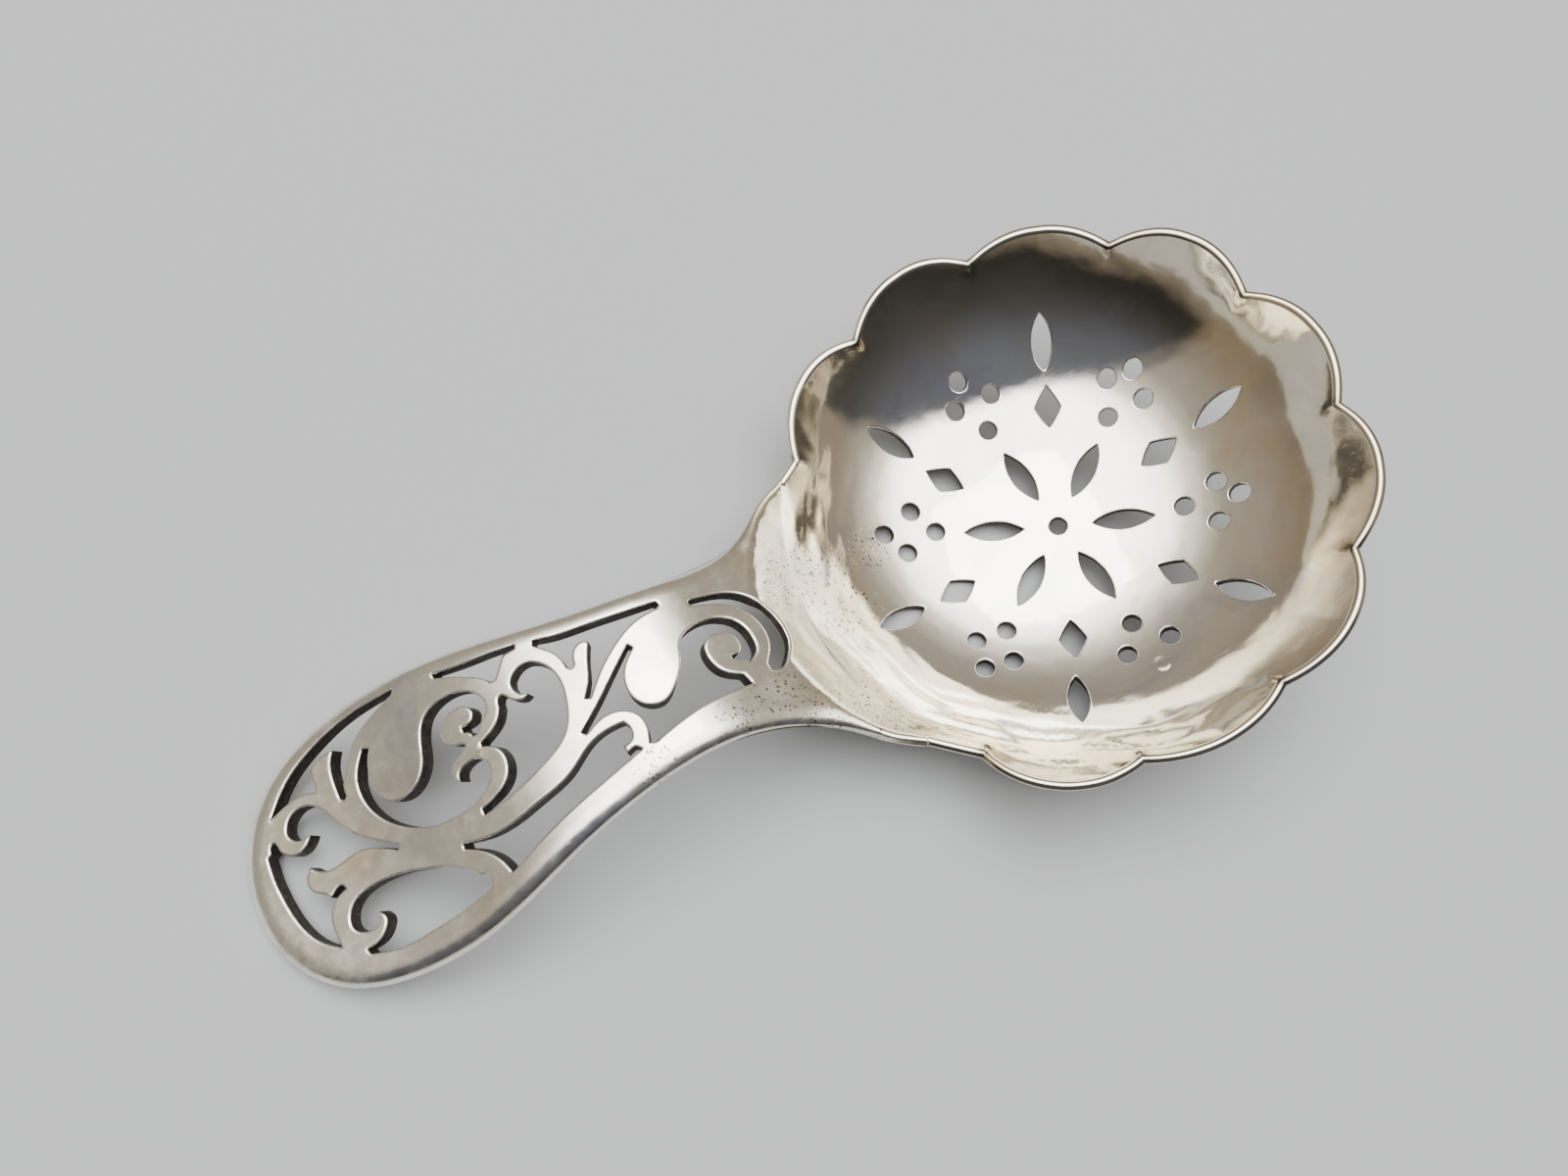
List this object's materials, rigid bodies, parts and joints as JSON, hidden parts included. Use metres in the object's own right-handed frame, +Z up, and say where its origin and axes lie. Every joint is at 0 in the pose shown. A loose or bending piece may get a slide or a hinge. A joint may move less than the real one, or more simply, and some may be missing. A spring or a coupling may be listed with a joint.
{
  "type": "sifter spoon",
  "caption": "Pierced sifter or strainer spoon: scalloped round dish with a rosette of drilled and sawn holes, and an arched openwork scroll handle.",
  "frame": {"origin": "centre of the bounding box at the surface the spoon lies on", "axes": "+Z up from that surface; the handle points along -X; +Y is to the left when looking from the handle to the dish. The spoon lies as it rests on a table: underside of the dish and handle's tip touching, dish leaning back 17.5 degrees towards its handle."},
  "size_m": [0.124, 0.0628, 0.0277],
  "materials": {
    "bowl_silver": "polished silver, hand raised, lightly tarnished",
    "handle_silver": "polished silver, softened by wear, brown tarnish",
    "seam_solder": "silver solder, slightly pitted"
  },
  "bodies": {
    "root": {"bowl": "bowl_silver", "handle": "handle_silver", "solder_seam": "seam_solder"}
  },
  "joints": []
}
